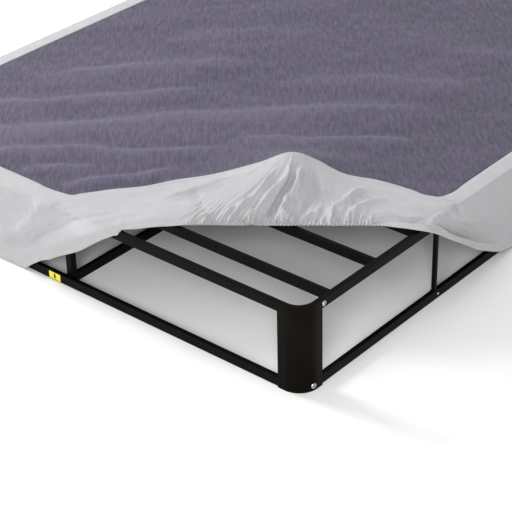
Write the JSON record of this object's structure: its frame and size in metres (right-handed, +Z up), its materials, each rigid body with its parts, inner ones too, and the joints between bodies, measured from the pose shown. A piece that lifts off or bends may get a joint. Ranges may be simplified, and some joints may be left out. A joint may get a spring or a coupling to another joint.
{
  "type": "metal bed frame",
  "caption": "Bolted steel tube bed foundation with bent corner guards, cross slats and a fitted fabric cover that is turned back over the slats at one corner.",
  "frame": {"origin": "on the floor, under the middle of the bed", "axes": "+Z up, +Y along the bed from the foot end (whose right corner is uncovered) to the head end, +X across the bed"},
  "size_m": [1.5344, 2.0464, 0.315],
  "materials": {
    "black_powder_coat": "satin black powder coat with a fine texture",
    "black_guard_coat": "satin black powder coat on bent sheet",
    "zinc_plated_steel": "bright zinc plate",
    "rivet_aluminium": "plain rivet",
    "yellow_sticker": "printed vinyl with a plain black arrow",
    "grey_top_cloth": "grey purple non-woven cloth with a fine rib",
    "white_skirt_cloth": "white polyester jersey, seamed and hemmed",
    "white_elastic": "woven elastic"
  },
  "bodies": {
    "frame": {"arrow_sticker": "yellow_sticker", "beam_spigots": "black_powder_coat", "centre_struts": "black_powder_coat", "foot_centre_post": "black_powder_coat", "foot_left_corner_guard": "black_guard_coat", "foot_left_lower_rail": "black_powder_coat", "foot_left_post": "black_powder_coat", "foot_left_upper_rail": "black_powder_coat", "foot_lower_centre_beam": "black_powder_coat", "foot_lower_end_tube": "black_powder_coat", "foot_right_corner_guard": "black_guard_coat", "foot_right_lower_rail": "black_powder_coat", "foot_right_post": "black_powder_coat", "foot_right_upper_rail": "black_powder_coat", "foot_upper_centre_beam": "black_powder_coat", "foot_upper_end_tube": "black_powder_coat", "guard_screws": "zinc_plated_steel", "head_centre_post": "black_powder_coat", "head_left_corner_guard": "black_guard_coat", "head_left_lower_rail": "black_powder_coat", "head_left_post": "black_powder_coat", "head_left_upper_rail": "black_powder_coat", "head_lower_centre_beam": "black_powder_coat", "head_lower_end_tube": "black_powder_coat", "head_right_corner_guard": "black_guard_coat", "head_right_lower_rail": "black_powder_coat", "head_right_post": "black_powder_coat", "head_right_upper_rail": "black_powder_coat", "head_upper_centre_beam": "black_powder_coat", "head_upper_end_tube": "black_powder_coat", "left_mid_posts": "black_powder_coat", "post_bolts": "zinc_plated_steel", "post_nuts": "zinc_plated_steel", "rail_bolts": "zinc_plated_steel", "rail_nuts": "zinc_plated_steel", "rail_rivets": "rivet_aluminium", "right_mid_posts": "black_powder_coat", "slat_01": "black_powder_coat", "slat_02": "black_powder_coat", "slat_03": "black_powder_coat", "slat_04": "black_powder_coat", "slat_05": "black_powder_coat", "slat_06": "black_powder_coat", "slat_07": "black_powder_coat", "slat_08": "black_powder_coat", "slat_09": "black_powder_coat", "slat_10": "black_powder_coat", "slat_11": "black_powder_coat", "slat_12": "black_powder_coat", "slat_spigots": "black_powder_coat"},
    "cover": {"cover_foot_skirt": "white_skirt_cloth", "cover_head_skirt": "white_skirt_cloth", "cover_left_skirt": "white_skirt_cloth", "cover_right_skirt": "white_skirt_cloth", "cover_top_panel": "grey_top_cloth", "cover_turned_corner": "white_skirt_cloth", "fitted_corner_elastics": "white_elastic", "turned_corner_elastic": "white_elastic"}
  },
  "joints": [
    {"name": "cover_lift", "type": "slide", "parent": "frame", "child": "cover", "axis": [0, 0, 1], "range_m": [0, 0.3]}
  ]
}
